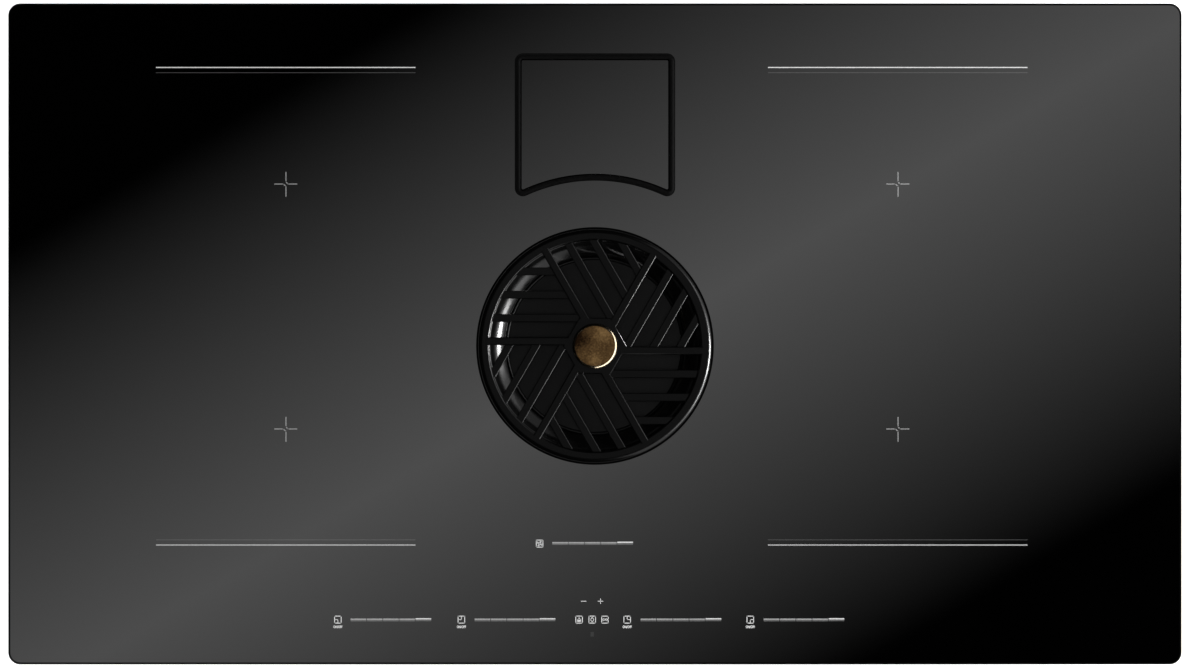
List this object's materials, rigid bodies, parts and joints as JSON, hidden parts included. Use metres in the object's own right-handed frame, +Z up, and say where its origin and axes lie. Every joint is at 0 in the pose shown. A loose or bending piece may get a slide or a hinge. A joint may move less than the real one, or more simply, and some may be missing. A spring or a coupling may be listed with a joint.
{
  "type": "downdraft induction cooktop",
  "caption": "Built-in black glass induction hob with cooking zones, touch sliders, a round swirl-grille downdraft inlet with a brass knob, a scale platform and a blower module underneath.",
  "frame": {"origin": "under the middle of the glass, at the level of the lowest face of the air module", "axes": "+X to the user's right, +Y to the back, +Z up out of the glass"},
  "size_m": [0.9, 0.507, 0.231],
  "materials": {
    "black_glass": "polished black glass-ceramic, ground edge",
    "cast_black": "satin black enamel on cast iron",
    "black_enamel": "glossy black",
    "brass_turned": "turned, antiqued",
    "rubber_black": "matt",
    "silicone": "matt",
    "foam": "closed-cell foam",
    "galvanised": "galvanised, spangled",
    "steel": "zinc plated",
    "aluminium": "mill finish",
    "copper": "enamelled litz wire",
    "mineral_mat": "pressed mineral fibre",
    "coil_plastic": "moulded",
    "circuit_board": "solder mask",
    "black_plastic": "moulded, fine texture",
    "grey_plastic": "moulded, fine texture",
    "filter_black": "black enamel",
    "ceramic_print": "pale grey ceramic ink fired into the glass"
  },
  "bodies": {
    "hob": {"glass_top": "black_glass", "glass_rim_seal": "foam", "base_pan": "galvanised", "fixing_spring_front_left": "steel", "fixing_spring_rear_left": "steel", "fixing_spring_front_right": "steel", "fixing_spring_rear_right": "steel", "inlet_collar": "black_enamel", "collar_seal": "silicone", "grille_cushion": "silicone", "scale_gasket": "rubber_black", "load_cell": "aluminium", "scale_tub": "galvanised", "mains_filter_board": "circuit_board", "touch_board": "circuit_board", "touch_carrier": "black_plastic", "collector_tub": "black_plastic", "collector_seal": "foam", "blower_scroll": "black_plastic", "scroll_cover": "black_plastic", "suction_channel": "black_plastic", "blower_motor": "steel", "outlet_spigot": "black_plastic", "blower_control_box": "grey_plastic", "terminal_box": "black_plastic", "terminal_cover": "black_plastic", "cable_gland": "grey_plastic", "coil_former_rear_left": "coil_plastic", "coil_winding_rear_left": "copper", "coil_former_front_left": "coil_plastic", "coil_winding_front_left": "copper", "coil_bridge_left": "aluminium", "power_board_left": "circuit_board", "heatsink_left": "aluminium", "cooling_fan_housing_left": "black_plastic", "insulation_mat_left": "mineral_mat", "coil_former_rear_right": "coil_plastic", "coil_winding_rear_right": "copper", "coil_former_front_right": "coil_plastic", "coil_winding_front_right": "copper", "coil_bridge_right": "aluminium", "power_board_right": "circuit_board", "heatsink_right": "aluminium", "cooling_fan_housing_right": "black_plastic", "insulation_mat_right": "mineral_mat"},
    "grille_assembly": {"grille": "cast_black", "grille_knob": "brass_turned", "knob_screw": "steel"},
    "filter": {"filter_frame": "filter_black", "filter_mesh": "filter_black", "filter_handle": "black_plastic"},
    "scale": {"scale_plate": "black_glass", "scale_platform": "aluminium"},
    "tray": {"drip_tray": "grey_plastic"},
    "blower_wheel": {"impeller": "grey_plastic", "motor_shaft": "steel"},
    "fan_left": {"cooling_rotor_left": "grey_plastic"},
    "fan_right": {"cooling_rotor_right": "grey_plastic"}
  },
  "joints": [
    {"name": "grille_lift", "type": "slide", "parent": "hob", "child": "grille_assembly", "axis": [0, 0, 1], "range_m": [0, 0.16]},
    {"name": "filter_lift", "type": "slide", "parent": "hob", "child": "filter", "axis": [0, 0, 1], "range_m": [0, 0.112]},
    {"name": "scale_press", "type": "slide", "parent": "hob", "child": "scale", "axis": [0, 0, -1], "range_m": [0, 0.0005], "stiffness_N_per_m": 20000, "springref_m": -0.0003},
    {"name": "drip_tray_slide", "type": "slide", "parent": "hob", "child": "tray", "axis": [0, -1, 0], "range_m": [0, 0.22]},
    {"name": "blower_spin", "type": "hinge", "parent": "hob", "child": "blower_wheel", "pos_m": [0.2, -0.01, 0.04], "axis": [0, 0, 1], "continuous": true},
    {"name": "fan_left_spin", "type": "hinge", "parent": "hob", "child": "fan_left", "pos_m": [-0.388, 0.12, 0.165], "axis": [0, 0, 1], "continuous": true},
    {"name": "fan_right_spin", "type": "hinge", "parent": "hob", "child": "fan_right", "pos_m": [0.388, 0.12, 0.165], "axis": [0, 0, 1], "continuous": true}
  ],
  "couplings": [
    {"joint": "filter_lift", "follows": "grille_lift", "ratio": 0.7}
  ]
}
